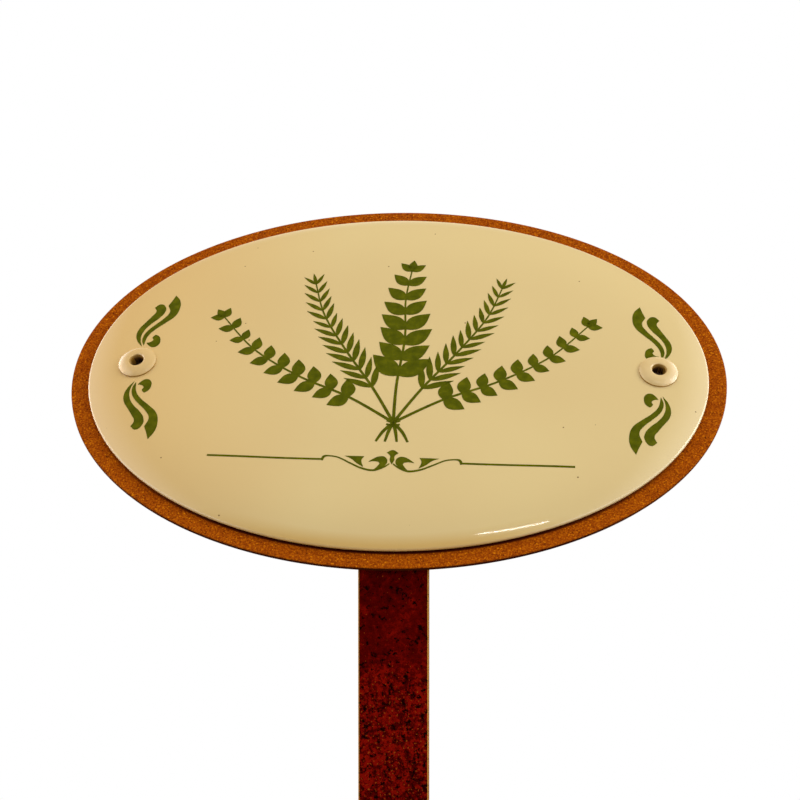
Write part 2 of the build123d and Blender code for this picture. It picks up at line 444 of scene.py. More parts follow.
# %% Small parts' finishes
def plain_finish(name, low, high, grain_mm, roughness, relief_mm):
    """A finish with a slight grain in its colour and relief."""
    material, tree, shader, coords = new_material(name)
    pattern = {"Vector": coords, "Scale": grain(grain_mm), "Detail": 3.0}
    pattern = add(tree, "ShaderNodeTexNoise", pattern).outputs[0]
    tones = [(0.3, low), (0.7, high)]
    colour = add(tree, "ShaderNodeValToRGB", {"Fac": pattern}, stops=tones).outputs[0]
    relief = add(tree, "ShaderNodeBump", {"Height": pattern, "Distance": relief_mm * MM}).outputs[0]
    coat(tree, shader, colour, relief, roughness)
    return material


# A dull dark brown that swallows the light in the bore
stem_steel = plain_finish("steel_stem_rusted", "#2A1408", "#4A2810", 0.6, 0.7, 0.05)
# A flat black without a highlight
washer_rubber = plain_finish("rubber_black_moulded", "#141414", "#1E1D1C", 1.2, 0.6, 0.02)
# A dark and lumpy metal with a faint glint
weld_metal = plain_finish("steel_weld_rusted", "#3A1A10", "#6E3A1C", 0.8, 0.5, 0.12)

finishes = {
    "enamel_sign": enamel_ivory,
    "backing_plate": rust_plate,
    "stake": rust_bar,
    "rivet_body": rivet_lacquer,
    "rivet_stem": stem_steel,
    "spacer_washer": washer_rubber,
    "weld_beads": weld_metal,
}
for name, node in nodes.items():
    kind = next(key for key in finishes if name.startswith(key))
    node.data.materials.clear()
    node.data.materials.append(finishes[kind])
print("finished nodes:", len(nodes))

# %% [markdown]
# The lacquer does not run into a rivet's bore. Drawn through by the stem when the
# rivet was set, the bore is bare metal with a faint stain: golden brown at its mouth,
# where a little lacquer reaches, and almost black further down, a change with depth
# that is painted shade. The faces near the rivet's axis take this second finish. The
# axis runs through the middle of the stem's box and leans as the dome does there.

# %% Stained bores with painted shade
bore_radius = 1.58 * MM
# Levels over the plate's front, in millimetres
mouth_top = 4.4
mouth_bottom = 3.0
stain_share = 0.4


def shaded_stained_bore():
    """The bore of a set rivet, bare and golden at its mouth and dark below as painted shade,
    with a faint stain.
    """
    material, tree, shader, coords = new_material("aluminium_bore_stained")
    over = on_sign(tree, coords)["over"]
    stain = {"Vector": coords, "Scale": grain(0.8), "Detail": 3.0}
    stain = add(tree, "ShaderNodeTexNoise", stain).outputs[0]
    # Painted shade: lighter at the mouth, darker deeper down the bore
    mouth = where(tree, (over, mouth_bottom * MM, mouth_top * MM))
    depth = {0: stain, 1: stain_share, 2: mouth}
    depth = add(tree, "ShaderNodeMath", depth, operation="MULTIPLY_ADD").outputs[0]
    tones = [(0.15, "#241004"), (0.6, "#5A3A14"), (1.0, "#B08A48")]
    colour = add(tree, "ShaderNodeValToRGB", {"Fac": depth}, stops=tones).outputs[0]
    relief = add(tree, "ShaderNodeBump", {"Height": stain, "Distance": 0.03 * MM}).outputs[0]
    coat(tree, shader, colour, relief, roughness=0.6, specular=0.2)
    return material


bore_shade_and_stain = shaded_stained_bore()
to_sign = sign_place.inverted()
for side_name in ("left", "right"):
    rivet = nodes["rivet_body_" + side_name]
    stem_low, stem_high = (Vector(corner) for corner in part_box("rivet_stem_" + side_name))
    washer_low, washer_high = (Vector(corner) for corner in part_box("spacer_washer_" + side_name))
    stem_middle = (stem_low + stem_high) / 2
    axis = (stem_middle - (washer_low + washer_high) / 2).normalized()
    rivet.data.materials.append(bore_shade_and_stain)
    for face in rivet.data.polygons:
        reach = face.center - stem_middle
        off_axis = (reach - axis * reach.dot(axis)).length
        face.material_index = 1 if off_axis < bore_radius else 0
    bore = [face for face in rivet.data.polygons if face.material_index == 1]
    levels = sorted((to_sign @ face.center).z / MM for face in bore)
    lowest, highest = round(levels[0], 1), round(levels[-1], 1)
    print(side_name, "bore faces:", len(bore), "from", lowest, "to", highest, "mm")

# %% [markdown]
# The enamelled face must mirror the lights without facets, so the pressed dome
# is built again as a fine mesh on the same curve: a low crown, a border that
# turns down, and a rim rounded by the flow of the glass. A profile is turned in
# steps about the middle and stretched to the oval. It takes the place of the
# plainer solid.

# %% The dome's curve
sign_sheet = 1.1
crown_rise = 2.0
border_drop = 2.4
border_power = 8
rim_gap = 0.3
rim_radius = sign_half_height - sign_sheet / 2
rim_level = rim_gap + sign_sheet / 2
stretch = sign_half_length / sign_half_height


def dome_rise(share):
    """Height of the dome's middle surface over its rim."""
    return crown_rise * (1 - share**2) + border_drop * (1 - share**border_power)


def dome_fall(share, radius=rim_radius):
    """The angle at which that surface falls, at a share of the radius."""
    crown_slope = 2 * crown_rise * share
    border_slope = border_power * border_drop * share ** (border_power - 1)
    return atan((crown_slope + border_slope) / radius)


def skin(share, side):
    """Radius and height of the dome's front (1) or back (-1), in millimetres."""
    fall = dome_fall(share)
    offset = side * sign_sheet / 2
    return rim_radius * share + offset * sin(fall), rim_level + dome_rise(share) + offset * cos(fall)


def front_height(x, y):
    """How high the dome's front lies over the plate, at a place on the sign."""
    radius = hypot(x / stretch, y)
    share = radius / rim_radius
    for _ in range(6):
        share = (radius - sign_sheet / 2 * sin(dome_fall(share))) / rim_radius
    return skin(share, 1)[1]


print("dome height at the middle, mm:", round(front_height(0, 0), 2))

# %% The dome's profile
dome_rings = 56
rim_steps = 10


def dome_profile():
    """Front from the middle out, round the rim, and the back to the middle, in metres."""
    shares = [sin(pi / 2 * step / dome_rings) for step in range(dome_rings + 1)]
    front = [skin(share, 1) for share in shares]
    fall = dome_fall(1)
    rim = []
    for step in range(1, rim_steps):
        angle = pi / 2 - fall - pi * step / rim_steps
        out, up = sign_sheet / 2 * cos(angle), sign_sheet / 2 * sin(angle)
        rim.append((rim_radius + out, rim_level + up))
    back = [skin(share, -1) for share in reversed(shares)]
    return [(radius * MM, 0.0, height * MM) for radius, height in front + rim + back]


profile_points = dome_profile()
profile = bpy.data.meshes.new("dome_profile")
profile.from_pydata(profile_points, [(i, i + 1) for i in range(len(profile_points) - 1)], [])
enamel_face = bpy.data.objects.new("enamel_face", profile)
bpy.context.scene.collection.objects.link(enamel_face)
print("profile points:", len(profile_points))

# %% [markdown]
# A turned form follows one rule, so a Geometry Nodes tree makes it. A grid has a
# row for every point of the profile and a column for every step round. Each of
# its points takes radius and height from the profile by its row, and its angle
# from its column. The seam and both middles are then merged, so that it is closed.

# %% Named inputs of a tree
socket_kinds = {int: "NodeSocketInt", float: "NodeSocketFloat"}


def declare(tree, direction, **sockets):
    """Gives a tree named sockets: a number is a default, a word names another kind."""
    for name, value in sockets.items():
        kind = socket_kinds.get(type(value)) or "NodeSocket" + value
        made = tree.interface.new_socket(name.replace("_", " "), in_out=direction, socket_type=kind)
        if type(value) in socket_kinds:
            made.default_value = value


print("socket kinds:", len(socket_kinds))

# %% Geometry Nodes tree for a turned oval
merge_distance = 0.002 * MM


def oval_tree():
    """Turns a profile about the middle and stretches it along X."""
    tree = bpy.data.node_groups.new("turned_oval", "GeometryNodeTree")
    declare(tree, "INPUT", Profile="Geometry")
    declare(tree, "INPUT", Profile_Points=10, Steps_Round=64, Stretch=1.0, Finish="Material")
    declare(tree, "OUTPUT", Oval="Geometry")
    given = add(tree, "NodeGroupInput").outputs

    columns = {0: given["Steps Round"], 1: 1.0}
    columns = add(tree, "ShaderNodeMath", columns, operation="ADD").outputs[0]
    grid = {"Vertices X": given["Profile Points"], "Vertices Y": columns}
    grid = add(tree, "GeometryNodeMeshGrid", grid).outputs["Mesh"]
    index = add(tree, "GeometryNodeInputIndex").outputs[0]
    row = add(tree, "ShaderNodeMath", {0: index, 1: columns}, operation="DIVIDE").outputs[0]
    row = add(tree, "ShaderNodeMath", {0: row}, operation="FLOOR").outputs[0]
    column = add(tree, "ShaderNodeMath", {0: index, 1: columns}, operation="MODULO").outputs[0]
    position = add(tree, "GeometryNodeInputPosition").outputs[0]
    sample = add(tree, "GeometryNodeSampleIndex", data_type="FLOAT_VECTOR", domain="POINT")
    for name, socket in (("Geometry", given["Profile"]), ("Value", position), ("Index", row)):
        tree.links.new(socket, sample.inputs[name])
    point = add(tree, "ShaderNodeSeparateXYZ", {0: sample.outputs[0]}).outputs
    turned = {0: column, 1: given["Steps Round"]}
    turned = add(tree, "ShaderNodeMath", turned, operation="DIVIDE").outputs[0]
    angle = add(tree, "ShaderNodeMath", {0: turned, 1: 2 * pi}, operation="MULTIPLY").outputs[0]
    sides = []
    for operation in ("COSINE", "SINE"):
        ratio = add(tree, "ShaderNodeMath", {0: angle}, operation=operation).outputs[0]
        ratio = add(tree, "ShaderNodeMath", {0: ratio, 1: point["X"]}, operation="MULTIPLY")
        sides.append(ratio.outputs[0])
    long = {0: sides[0], 1: given["Stretch"]}
    long = add(tree, "ShaderNodeMath", long, operation="MULTIPLY").outputs[0]
    spot = add(tree, "ShaderNodeCombineXYZ", {"X": long, "Y": sides[1], "Z": point["Z"]}).outputs[0]
    shaped = add(tree, "GeometryNodeSetPosition", {"Geometry": grid, "Position": spot}).outputs[0]
    merged = {"Geometry": shaped, "Distance": merge_distance}
    merged = add(tree, "GeometryNodeMergeByDistance", merged).outputs[0]
    real = add(tree, "GeometryNodeRealizeInstances", {"Geometry": merged}).outputs[0]
    coated = {"Geometry": real, "Material": given["Finish"]}
    coated = add(tree, "GeometryNodeSetMaterial", coated).outputs[0]
    add(tree, "NodeGroupOutput", {"Oval": coated})
    return tree


turned_oval = oval_tree()
print("oval tree nodes:", len(turned_oval.nodes))

# %% Turn the dome
dome_steps_round = 256


def give_inputs(modifier, values):
    """Sets a Geometry Nodes modifier's named inputs by their sockets' identifiers."""
    for item in modifier.node_group.interface.items_tree:
        if item.name in values:
            modifier[item.identifier] = values[item.name]


def apply_modifiers(piece):
    """Makes a piece's modified shape its plain mesh."""
    shaped = piece.evaluated_get(bpy.context.evaluated_depsgraph_get())
    mesh = bpy.data.meshes.new_from_object(shaped)
    piece.modifiers.clear()
    piece.data = mesh


turning = enamel_face.modifiers.new("turning", "NODES")
turning.node_group = turned_oval
sizes = {"Profile Points": len(profile_points), "Steps Round": dome_steps_round}
give_inputs(turning, {**sizes, "Stretch": stretch, "Finish": enamel_ivory})
apply_modifiers(enamel_face)
shell = bmesh.new()
shell.from_mesh(enamel_face.data)
bmesh.ops.recalc_face_normals(shell, faces=shell.faces)
shell.to_mesh(enamel_face.data)
open_edges = sum(1 for edge in shell.edges if len(edge.link_faces) != 2)
shell.free()
print("dome faces:", len(enamel_face.data.polygons), "open edges:", open_edges)

# %% [markdown]
# The rivets lean with the dome's slope, so their holes do too. Each hole is cut
# from the fine mesh with a round cutter on the same leaning axis, and then the
# cutters are thrown away.

# %% Rivet holes
rivet_reach = 58.6
rivet_hole_diameter = 5.1
cutter_length = 20.0
cutter_sides = 48
smooth_up_to = radians(40)


def rivet_frame(side):
    """Where the left (-1) or right (1) rivet sits on the dome, as a matrix in metres."""
    half_length = rim_radius * stretch
    share = rivet_reach / half_length
    fall = dome_fall(share, half_length)
    normal = Vector((side * sin(fall), 0, cos(fall)))
    middle = Vector((side * rivet_reach, 0, rim_level + dome_rise(share))) + normal * sign_sheet / 2
    return Matrix.Translation(middle * MM) @ Matrix.Rotation(side * fall, 4, "Y")


for side in (-1, 1):
    size = {"radius": rivet_hole_diameter / 2 * MM, "depth": cutter_length * MM}
    bpy.ops.mesh.primitive_cylinder_add(vertices=cutter_sides, **size)
    cutter = bpy.context.object
    cutter.data.transform(rivet_frame(side))
    hole = enamel_face.modifiers.new("rivet_hole", "BOOLEAN")
    hole.operation = "DIFFERENCE"
    hole.solver = "EXACT"
    hole.object = cutter
    apply_modifiers(enamel_face)
    bpy.data.objects.remove(cutter)

enamel_face.data.transform(sign_place)
enamel_face.data.materials.clear()
enamel_face.data.materials.append(enamel_ivory)
enamel_face.data.shade_smooth()
enamel_face.data.set_sharp_from_angle(angle=smooth_up_to)
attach(enamel_face, "root")
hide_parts("enamel_sign")
print("holes cut, faces:", len(enamel_face.data.polygons))

# %% [markdown]
# The print lies on the dome as a film. Each motif is drawn flat, in
# millimetres on the sign, from the few points that its shape needs, then cut
# into small cells so that it can bend, laid on the dome's curve and given its
# thickness. A point marked corner stays sharp, the others are rounded.

# %% Laying print on the dome
print_shift = (0.6, -1.0)
print_turn = radians(-0.67)
film_lift = 0.05
film_thickness = 0.045
cell_size = 2.0
rounding_steps = 8
weld_gap = 0.001


def lay_on_dome(x, y, lift=film_lift):
    """A point of the flat print, laid on the sign, in metres in the row frame."""
    sign_x = print_shift[0] + x * cos(print_turn) - y * sin(print_turn)
    sign_y = print_shift[1] + x * sin(print_turn) + y * cos(print_turn)
    height = front_height(sign_x, sign_y) + lift
    return sign_place @ Vector((sign_x * MM, sign_y * MM, height * MM))


def welded(holder):
    """An object's final shape as a mesh with its doubles merged, and the object removed."""
    shaped = holder.evaluated_get(bpy.context.evaluated_depsgraph_get())
    shape = bmesh.new()
    shape.from_mesh(bpy.data.meshes.new_from_object(shaped))
    bpy.data.objects.remove(holder)
    bmesh.ops.remove_doubles(shape, verts=shape.verts, dist=weld_gap)
    return shape


def flat_fill(outlines):
    """A flat mesh, in millimetres, that fills closed outlines with sharp or round points."""
    curve = bpy.data.curves.new("outline", "CURVE")
    curve.dimensions = "2D"
    curve.fill_mode = "BOTH"
    curve.resolution_u = rounding_steps
    for outline in outlines:
        spline = curve.splines.new("BEZIER")
        spline.use_cyclic_u = True
        spline.bezier_points.add(len(outline) - 1)
        for point, (x, y, *corner) in zip(spline.bezier_points, outline):
            point.co = (x, y, 0)
            point.handle_left_type = point.handle_right_type = "VECTOR" if corner else "AUTO"
    holder = bpy.data.objects.new("outline", curve)
    bpy.context.scene.collection.objects.link(holder)
    bpy.context.view_layer.update()
    return welded(holder)


def cut_in_cells(shape):
    """Cuts a flat mesh along a square grid, so that it can follow a curve."""
    xs = [vert.co.x for vert in shape.verts]
    ys = [vert.co.y for vert in shape.verts]
    for axis, values in ((0, xs), (1, ys)):
        place = (min(values) // cell_size + 1) * cell_size
        while place < max(values):
            point = [0.0, 0.0, 0.0]
            point[axis] = place
            normal = [0.0, 0.0, 0.0]
            normal[axis] = 1.0
            geometry = shape.verts[:] + shape.edges[:] + shape.faces[:]
            bmesh.ops.bisect_plane(shape, geom=geometry, plane_co=point, plane_no=normal, dist=1e-5)
            place += cell_size


def fired_print(name, shape, lift=film_lift):
    """Lays a flat mesh on the dome, thickens it and gives it the green enamel."""
    for vert in shape.verts:
        vert.co = lay_on_dome(vert.co.x, vert.co.y, lift)
    outside = sign_place.to_3x3() @ Vector((0, 0, 1))
    shape.normal_update()
    wrong = [face for face in shape.faces if face.normal.dot(outside) < 0]
    bmesh.ops.reverse_faces(shape, faces=wrong)
    data = bpy.data.meshes.new(name)
    shape.to_mesh(data)
    shape.free()
    piece = bpy.data.objects.new(name, data)
    bpy.context.scene.collection.objects.link(piece)
    film = piece.modifiers.new("film", "SOLIDIFY")
    film.thickness = film_thickness * MM
    film.offset = -1
    apply_modifiers(piece)
    piece.data.materials.clear()
    piece.data.materials.append(enamel_green)
    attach(piece, "root")
    print(name, "faces:", len(piece.data.polygons))


print("middle of the print, m:", [round(value, 4) for value in lay_on_dome(0, 0)])

# %% [markdown]
# Beside each rivet stands a pair of leaf scrolls, one above and one below, a
# common ornament on oval door signs. One scroll has an outer leaf, an inner
# leaf and a curl at their foot. It is drawn once, for the upper left, and
# mirrored to the other three places.

# %% Leaf scrolls at the rivets
outer_leaf = [
    (-59.1, 5.3, "corner"), (-60.4, 7.1), (-61.0, 9.2), (-60.7, 11.1), (-59.6, 13.0),
    (-58.3, 15.1), (-57.5, 16.8), (-58.1, 18.2, "corner"), (-56.8, 19.2), (-55.4, 17.9),
    (-55.4, 16.2), (-56.5, 14.3), (-58.2, 12.4), (-59.4, 10.4), (-59.8, 8.1),
]
inner_leaf = [
    (-58.7, 5.6, "corner"), (-59.3, 7.1), (-59.2, 8.8), (-58.4, 10.5), (-56.8, 12.4),
    (-55.3, 14.1), (-54.2, 16.2), (-54.9, 18.5, "corner"), (-54.2, 20.2), (-53.6, 22.0, "corner"),
    (-52.3, 19.9), (-52.0, 17.3), (-52.7, 14.8), (-54.6, 12.7), (-56.8, 10.6), (-58.2, 8.5),
]
foot_curl = [
    (-58.2, 6.4, "corner"), (-57.4, 5.4), (-56.4, 4.9), (-55.3, 5.5), (-55.0, 7.0),
    (-55.5, 8.3), (-56.4, 8.9, "corner"), (-57.0, 8.0), (-56.7, 7.3), (-57.3, 6.6),
]


def mirrored(outline, across, up):
    """An outline mirrored left to right and top to bottom."""
    return [(x * across, y * up, *corner) for x, y, *corner in outline]


for row, up in (("upper", 1), ("lower", -1)):
    for column, across in (("left", 1), ("right", -1)):
        leaves = [mirrored(outline, across, up) for outline in (outer_leaf, inner_leaf, foot_curl)]
        scroll = flat_fill(leaves)
        cut_in_cells(scroll)
        fired_print(f"leaf_scroll_{row}_{column}", scroll)

# %% [markdown]
# Under the picture runs a thin rule with a small scroll in its middle, as on
# old enamel signs. Lines are drawn as brush strokes: a curve through a few
# points, with a width at each, swept into a flat ribbon. The rule's ends hook
# into the scroll, whose leaves and bud are filled outlines.

# %% Brush strokes
finest_stroke = 0.04
stroke_steps = 10


def smooth_run(points):
    """Points along a Catmull-Rom curve through (x, y, width) points."""
    padded = [points[0], *points, points[-1]]
    run = []
    for before, start, end, after in zip(padded, padded[1:], padded[2:], padded[3:]):
        for step in range(stroke_steps):
            t = step / stroke_steps
            pull = (
                (before, -t + 2 * t**2 - t**3),
                (start, 2 - 5 * t**2 + 3 * t**3),
                (end, t + 4 * t**2 - 3 * t**3),
                (after, -(t**2) + t**3),
            )
            run.append([sum(pull_by * at[axis] for at, pull_by in pull) / 2 for axis in range(3)])
    run.append(list(points[-1]))
    return run


def brush(shape, points):
    """Adds a flat ribbon along (x, y, width) points to a mesh."""
    run = smooth_run(points)
    pairs = []
    for index, (x, y, width) in enumerate(run):
        ahead = run[min(index + 1, len(run) - 1)]
        behind = run[max(index - 1, 0)]
        along = Vector((ahead[0] - behind[0], ahead[1] - behind[1])).normalized()
        across = Vector((-along.y, along.x)) * max(width, finest_stroke) / 2
        left = shape.verts.new((x + across.x, y + across.y, 0))
        right = shape.verts.new((x - across.x, y - across.y, 0))
        pairs.append((left, right))
    for (left, right), (next_left, next_right) in zip(pairs, pairs[1:]):
        shape.faces.new((left, right, next_right, next_left))


# %% Rule
rule_height = -27.7
rule_half_length = 40.1
rule_middle = 0.5
scroll_middle = 1.0
rule_width = 0.48

rule = bmesh.new()
rule_rise = [(20.0, 0.1), (26.0, 0.25), (33.0, 0.55), (rule_half_length, 0.9)]
hook = [
    (15.2, -0.25, 0.55), (14.8, 0.75, 0.6), (13.8, 1.0, 0.35), (11.6, 0.6, 0.35), (8.8, -0.9, 0.4),
    (6.4, -2.1, 0.45), (3.8, -2.6, 0.5), (1.6, -1.7, 0.4), (0.4, -0.7, 0.3),
]
for side in (-1, 1):
    start = (scroll_middle + side * 15.0, rule_height + 0.05, rule_width)
    rest = [(rule_middle + side * x, rule_height + y, rule_width) for x, y in rule_rise]
    brush(rule, [start, *rest])
    brush(rule, [(scroll_middle + side * x, rule_height + y, width) for x, y, width in hook])
fired_print("rule_line", rule)

# %% Small scroll in the rule
wedge = [
    (10.3, 1.1, "corner"), (6.0, 1.1, "corner"), (6.5, 0.1), (6.0, -1.8, "corner"), (7.4, -0.9),
    (8.8, 0.35),
]
side_leaf = [
    (5.0, -0.35, "corner"), (4.0, 0.5), (2.6, 1.2), (1.4, 1.0), (0.9, -0.4), (1.8, -1.6),
    (3.6, -2.3, "corner"), (2.9, -1.4), (2.6, -0.6), (3.4, -0.2),
]
bud = [
    (0.1, 3.0), (1.4, 2.2, "corner"), (0.6, 1.4), (0.6, 0.3), (0.1, -0.9, "corner"), (-0.4, 0.3),
    (-0.4, 1.4), (-1.2, 2.3, "corner"),
]


def at_rule(outline, side):
    """An outline of the small scroll, placed on the rule and mirrored if side is -1."""
    return [(scroll_middle + side * x, rule_height + y, *corner) for x, y, *corner in outline]


motifs = [at_rule(outline, side) for outline in (wedge, side_leaf) for side in (1, -1)]
small_scroll = flat_fill([*motifs, at_rule(bud, 1)])
cut_in_cells(small_scroll)
fired_print("rule_scroll", small_scroll)

# %% [markdown]
# The middle of the sign holds a plain picture of cut herbs: stems that fan out
# from a tie, each with its own kind of leaf. Leaves repeat along a stem, so a
# Geometry Nodes tree sets them: it resamples the stems, puts a leaf on each
# side of every point, turned out from the stem, and shrinks them to the tip.

# %% Geometry Nodes tree for leaves
leaf_columns = 13
leaf_rows = 5
leaf_fullness = 0.8
smallest_leaf = 0.88
largest_leaf = 1.12


def leaf_tree():
    """Leaves in pairs along curves, smaller towards the tip, with one at the end."""
    tree = bpy.data.node_groups.new("herb_leaves", "GeometryNodeTree")
    declare(tree, "INPUT", Stems="Geometry", Leaf_Length=6.0, Leaf_Width=2.0, Spread=0.9)
    declare(tree, "INPUT", Tip_Size=0.5, Pairs=8, Seed=5, Finish="Material")
    declare(tree, "OUTPUT", Leaves="Geometry")
    given = add(tree, "NodeGroupInput").outputs

    grid = {"Size X": 1.0, "Size Y": 1.0, "Vertices X": leaf_columns, "Vertices Y": leaf_rows}
    grid = add(tree, "GeometryNodeMeshGrid", grid).outputs["Mesh"]
    position = add(tree, "GeometryNodeInputPosition").outputs[0]
    place = add(tree, "ShaderNodeSeparateXYZ", {0: position}).outputs
    along = add(tree, "ShaderNodeMath", {0: place["X"], 1: 0.5}, operation="ADD").outputs[0]
    eased = add(tree, "ShaderNodeMath", {0: along, 1: leaf_fullness}, operation="POWER").outputs[0]
    angle = add(tree, "ShaderNodeMath", {0: eased, 1: pi}, operation="MULTIPLY").outputs[0]
    belly = add(tree, "ShaderNodeMath", {0: angle}, operation="SINE").outputs[0]
    leaf_y = belly
    for factor in (given["Leaf Width"], place["Y"]):
        leaf_y = add(tree, "ShaderNodeMath", {0: leaf_y, 1: factor}, operation="MULTIPLY").outputs[0]
    leaf_x = {0: along, 1: given["Leaf Length"]}
    leaf_x = add(tree, "ShaderNodeMath", leaf_x, operation="MULTIPLY").outputs[0]
    spot = add(tree, "ShaderNodeCombineXYZ", {"X": leaf_x, "Y": leaf_y}).outputs[0]
    leaf = add(tree, "GeometryNodeSetPosition", {"Geometry": grid, "Position": spot}).outputs[0]

    stems = add(tree, "GeometryNodeMeshToCurve", {"Mesh": given["Stems"]}).outputs[0]
    dots = {"Curve": stems, "Count": given["Pairs"]}
    dots = add(tree, "GeometryNodeResampleCurve", dots).outputs[0]
    share = add(tree, "GeometryNodeSplineParameter").outputs["Factor"]
    shrinking = {"Value": share, "To Min": 1.0, "To Max": given["Tip Size"]}
    shrinking = add(tree, "ShaderNodeMapRange", shrinking).outputs["Result"]
    chance = {2: smallest_leaf, 3: largest_leaf, 8: given["Seed"]}
    chance = add(tree, "FunctionNodeRandomValue", chance, data_type="FLOAT").outputs[1]
    size = add(tree, "ShaderNodeMath", {0: shrinking, 1: chance}, operation="MULTIPLY").outputs[0]
    tangent = add(tree, "GeometryNodeInputTangent").outputs[0]
    ahead = {"Vector": tangent}
    ahead = add(tree, "FunctionNodeAlignRotationToVector", ahead, axis="X").outputs[0]
    tip = {"Start Size": 0, "End Size": 1}
    tip = add(tree, "GeometryNodeCurveEndpointSelection", tip).outputs[0]
    joined = add(tree, "GeometryNodeJoinGeometry")
    for side in (1.0, -1.0, 0.0):
        spread = {0: given["Spread"], 1: side}
        spread = add(tree, "ShaderNodeMath", spread, operation="MULTIPLY").outputs[0]
        twist = add(tree, "ShaderNodeCombineXYZ", {"Z": spread}).outputs[0]
        spin = add(tree, "FunctionNodeEulerToRotation", {0: twist}).outputs[0]
        turned = {"Rotation": ahead, "Rotate By": spin}
        turned = add(tree, "FunctionNodeRotateRotation", turned, rotation_space="LOCAL").outputs[0]
        placed = {"Points": dots, "Instance": leaf, "Rotation": turned, "Scale": size}
        if side == 0.0:
            placed["Selection"] = tip
        placed = add(tree, "GeometryNodeInstanceOnPoints", placed).outputs[0]
        tree.links.new(placed, joined.inputs[0])
    real = add(tree, "GeometryNodeRealizeInstances", {"Geometry": joined.outputs[0]}).outputs[0]
    coated = {"Geometry": real, "Material": given["Finish"]}
    coated = add(tree, "GeometryNodeSetMaterial", coated).outputs[0]
    add(tree, "NodeGroupOutput", {"Leaves": coated})
    return tree


herb_leaves = leaf_tree()
print("leaf tree nodes:", len(herb_leaves.nodes))

# %% Stems of the herb bunch
tie = (0.5, -17.0)
stem_width = 0.75
stem_taper = 0.6
foot_width = 0.5
leaf_seed = 11
leaf_lift = film_lift + 0.01


def along_stem(points, start):
    """The stretch of a stem beyond a share of its length, as (x, y) points."""
    run = smooth_run([(x, y, 0.0) for x, y in points])
    return [(x, y) for x, y, _ in run[int(len(run) * start):]]


def leaves_on(name, stems, length, width, spread, pairs, tip_size):
    """Sets leaves along the stems, turns them to a plain mesh and lays it on the dome."""
    data = bpy.data.meshes.new(name)
    verts = []
    edges = []
    for points in stems:
        first = len(verts)
        verts += [(x, y, 0.0) for x, y in points]
        edges += [(index, index + 1) for index in range(first, len(verts) - 1)]
    data.from_pydata(verts, edges, [])
    piece = bpy.data.objects.new(name, data)
    bpy.context.scene.collection.objects.link(piece)
    modifier = piece.modifiers.new("leaves", "NODES")
    modifier.node_group = herb_leaves
    sizes = {"Leaf Length": length, "Leaf Width": width, "Spread": spread, "Tip Size": tip_size}
    give_inputs(modifier, {**sizes, "Pairs": pairs, "Seed": leaf_seed, "Finish": enamel_green})
    fired_print(name, welded(piece), leaf_lift)


stem_routes = {
    "middle": [tie, (0.3, -6.0), (1.0, 8.0), (0.2, 20.0), (0.8, 30.0)],
    "left_inner": [tie, (-5.0, -7.0), (-12.0, 4.0), (-18.0, 15.0), (-21.0, 25.0)],
    "right_inner": [tie, (6.0, -7.0), (13.0, 4.0), (19.0, 15.0), (22.0, 25.0)],
    "left_outer": [tie, (-10.0, -10.0), (-22.0, -4.0), (-33.0, 4.0), (-41.0, 14.0)],
    "right_outer": [tie, (11.0, -10.0), (23.0, -4.0), (34.0, 4.0), (42.0, 14.0)],
}
stems = bmesh.new()
for route in stem_routes.values():
    taper = [1 - stem_taper * index / (len(route) - 1) for index in range(len(route))]
    brush(stems, [(x, y, stem_width * share) for (x, y), share in zip(route, taper)])
feet = [[(0, 0, stem_width), (out * 0.6, -2.6, stem_width), (out, -5.4, foot_width)]
        for out in (-3.4, -1.4, 1.2, 3.6)]
twine = [[(-1.5, rise, 0.5), (0, rise - 0.35, 0.7), (1.5, rise, 0.5)] for rise in (-0.5, 0.5)]
for stroke in feet + twine:
    brush(stems, [(tie[0] + x, tie[1] + y, width) for x, y, width in stroke])
fired_print("herb_stems", stems)

# %% Leaves of the herb bunch
middle = [along_stem(stem_routes["middle"], 0.3)]
inner = [along_stem(stem_routes[key], 0.25) for key in ("left_inner", "right_inner")]
outer = [along_stem(stem_routes[key], 0.25) for key in ("left_outer", "right_outer")]
leaves_on("herb_leaves_middle", middle, length=8.5, width=4.6, spread=0.85, pairs=8, tip_size=0.5)
leaves_on("herb_leaves_inner", inner, length=7.0, width=1.5, spread=0.65, pairs=13, tip_size=0.6)
leaves_on("herb_leaves_outer", outer, length=5.2, width=3.2, spread=0.95, pairs=10, tip_size=0.6)

# %% [markdown]
# A plain pale floor lies under the bar's foot and keeps its shadow. Away from the
# bar it fades into the white of the room, so that no horizon cuts the picture.

# %% Floor
floor_gap = 0.5 * MM
floor_size = 2.4
fade_from = 0.15
fade_to = 0.85
floor_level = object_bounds()[0][2] - floor_gap
bpy.ops.mesh.primitive_plane_add(size=floor_size, location=(0, 0, floor_level))
floor = bpy.context.object
floor.name = "floor"
floor_paint, paint, matt, floor_coords = new_material("floor_matt_white")
matt.inputs["Base Color"].default_value = linear("#C8C8C8")
matt.inputs["Roughness"].default_value = 0.9
rays = add(paint, "ShaderNodeLightPath").outputs
seen = rays["Is Camera Ray"]
for ray in ("Is Glossy Ray", "Is Transmission Ray"):
    seen = add(paint, "ShaderNodeMath", {0: seen, 1: rays[ray]}, operation="MAXIMUM").outputs[0]
distance = add(paint, "ShaderNodeVectorMath", {0: floor_coords}, operation="LENGTH")
far = where(paint, (distance.outputs["Value"], fade_from, fade_to))
fade = add(paint, "ShaderNodeMath", {0: far, 1: seen}, operation="MULTIPLY").outputs[0]
white = add(paint, "ShaderNodeEmission", {"Color": linear("#FFFFFF"), "Strength": 1.0}).outputs[0]
faded = add(paint, "ShaderNodeMixShader", {0: fade, 1: matt.outputs[0], 2: white}).outputs[0]
paint.links.new(faded, paint.nodes["Material Output"].inputs["Surface"])
floor.data.materials.append(floor_paint)
print("floor level, m:", round(floor_level, 4))

